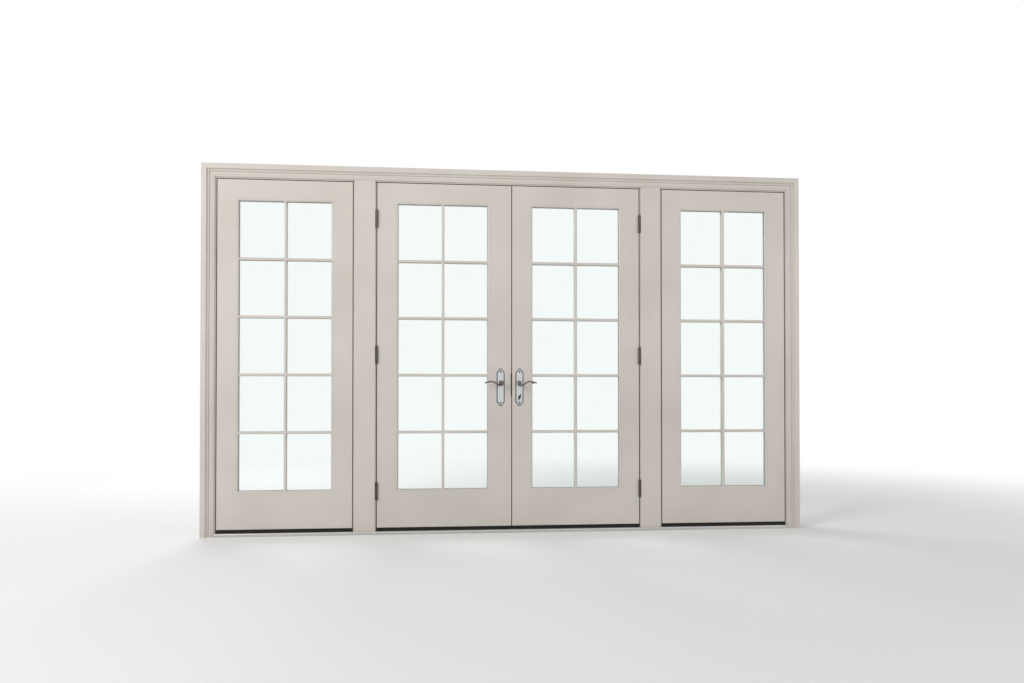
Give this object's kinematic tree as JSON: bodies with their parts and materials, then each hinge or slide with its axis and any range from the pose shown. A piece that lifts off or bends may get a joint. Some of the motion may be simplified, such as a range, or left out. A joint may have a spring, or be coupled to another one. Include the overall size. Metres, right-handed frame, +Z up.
{
  "type": "french doors",
  "caption": "Inswing french doors with divided lites and fixed glazed side panels in one moulded frame, with a metal threshold, butt hinges, lever handles and a shoot-bolt lock.",
  "frame": {"origin": "middle of the unit on the finished floor, in line with the room face of the doors and jambs", "axes": "+X to the right seen from the room, +Y out of doors through the thickness, +Z up"},
  "size_m": [3.579, 0.254, 2.1575],
  "materials": {
    "paint": "satin paint",
    "glass": "clear",
    "spacer": "mill",
    "rubber": "matte",
    "threshold": "satin anodised",
    "hinge_metal": "oil-rubbed bronze",
    "handle_metal": "satin nickel plate",
    "lock_steel": "brushed",
    "strike_metal": "oil-rubbed bronze"
  },
  "bodies": {
    "frame": {"left_side_panel_frame": "paint", "left_side_glass": "glass", "left_side_glass_spacer": "spacer", "left_side_inside_grille": "paint", "right_side_panel_frame": "paint", "right_side_glass": "glass", "right_side_glass_spacer": "spacer", "right_side_inside_grille": "paint", "head_jamb": "paint", "left_jamb": "paint", "right_jamb": "paint", "left_mullion_post": "paint", "right_mullion_post": "paint", "left_mullion_board": "paint", "right_mullion_board": "paint", "left_casing": "paint", "right_casing": "paint", "head_casing": "paint", "outside_trim": "paint", "threshold": "threshold", "frame_seals": "rubber", "left_frame_hinge_plates": "hinge_metal", "left_hinge_pins": "hinge_metal", "right_frame_hinge_plates": "hinge_metal", "right_hinge_pins": "hinge_metal"},
    "left_door": {"left_door_hinge_stile": "paint", "left_door_meeting_stile": "paint", "left_door_top_rail": "paint", "left_door_bottom_rail": "paint", "left_door_glass": "glass", "left_door_glass_spacer": "spacer", "left_door_inside_grille": "paint", "left_door_outside_grille": "paint", "left_door_sweep": "rubber", "left_door_hinge_plates": "hinge_metal", "left_inside_plate": "handle_metal", "left_gear_case": "lock_steel", "strike_plate": "strike_metal", "astragal": "paint"},
    "right_door": {"right_door_hinge_stile": "paint", "right_door_meeting_stile": "paint", "right_door_top_rail": "paint", "right_door_bottom_rail": "paint", "right_door_glass": "glass", "right_door_glass_spacer": "spacer", "right_door_inside_grille": "paint", "right_door_outside_grille": "paint", "right_door_sweep": "rubber", "right_door_hinge_plates": "hinge_metal", "right_inside_plate": "handle_metal", "right_outside_plate": "handle_metal", "right_lock_case": "lock_steel"},
    "left_lever": {"left_inside_lever": "handle_metal"},
    "right_lever": {"right_inside_lever": "handle_metal", "right_outside_lever": "handle_metal"},
    "thumbturn": {"thumbturn": "handle_metal"},
    "lever_bolt": {"lever_bolt": "lock_steel"},
    "dead_bolt": {"dead_bolt": "lock_steel"},
    "top_bolt": {"top_shoot_bolt": "lock_steel"},
    "bottom_bolt": {"bottom_shoot_bolt": "lock_steel"}
  },
  "joints": [
    {"name": "left_door_swing", "type": "hinge", "parent": "frame", "child": "left_door", "pos_m": [-0.789, -0.008, 1.056], "axis": [0, 0, -1], "range_deg": [0, 170]},
    {"name": "right_door_swing", "type": "hinge", "parent": "frame", "child": "right_door", "pos_m": [0.789, -0.008, 1.056], "axis": [0, 0, 1], "range_deg": [0, 170]},
    {"name": "left_lever_lift", "type": "hinge", "parent": "left_door", "child": "left_lever", "pos_m": [-0.0565, 0, 0.893], "axis": [0, 1, 0], "range_deg": [0, 45], "stiffness_Nm_per_rad": 1.2},
    {"name": "right_lever_lift", "type": "hinge", "parent": "right_door", "child": "right_lever", "pos_m": [0.0565, 0, 0.893], "axis": [0, -1, 0], "range_deg": [0, 45], "stiffness_Nm_per_rad": 1.2},
    {"name": "thumbturn_turn", "type": "hinge", "parent": "right_door", "child": "thumbturn", "pos_m": [0.0565, 0, 0.806], "axis": [0, -1, 0], "range_deg": [0, 90]},
    {"name": "lever_bolt_slide", "type": "slide", "parent": "right_door", "child": "lever_bolt", "axis": [-1, 0, 0], "range_m": [0, 0.0121]},
    {"name": "dead_bolt_slide", "type": "slide", "parent": "right_door", "child": "dead_bolt", "axis": [-1, 0, 0], "range_m": [0, 0.016]},
    {"name": "top_bolt_slide", "type": "slide", "parent": "left_door", "child": "top_bolt", "axis": [0, 0, 1], "range_m": [0, 0.0181]},
    {"name": "bottom_bolt_slide", "type": "slide", "parent": "left_door", "child": "bottom_bolt", "axis": [0, 0, -1], "range_m": [0, 0.0181]}
  ],
  "couplings": [
    {"joint": "lever_bolt_slide", "follows": "right_lever_lift", "m_per_rad": 0.015279},
    {"joint": "thumbturn_turn", "follows": "dead_bolt_slide", "rad_per_m": 98.17},
    {"joint": "top_bolt_slide", "follows": "left_lever_lift", "m_per_rad": 0.022918},
    {"joint": "bottom_bolt_slide", "follows": "left_lever_lift", "m_per_rad": 0.022918}
  ]
}
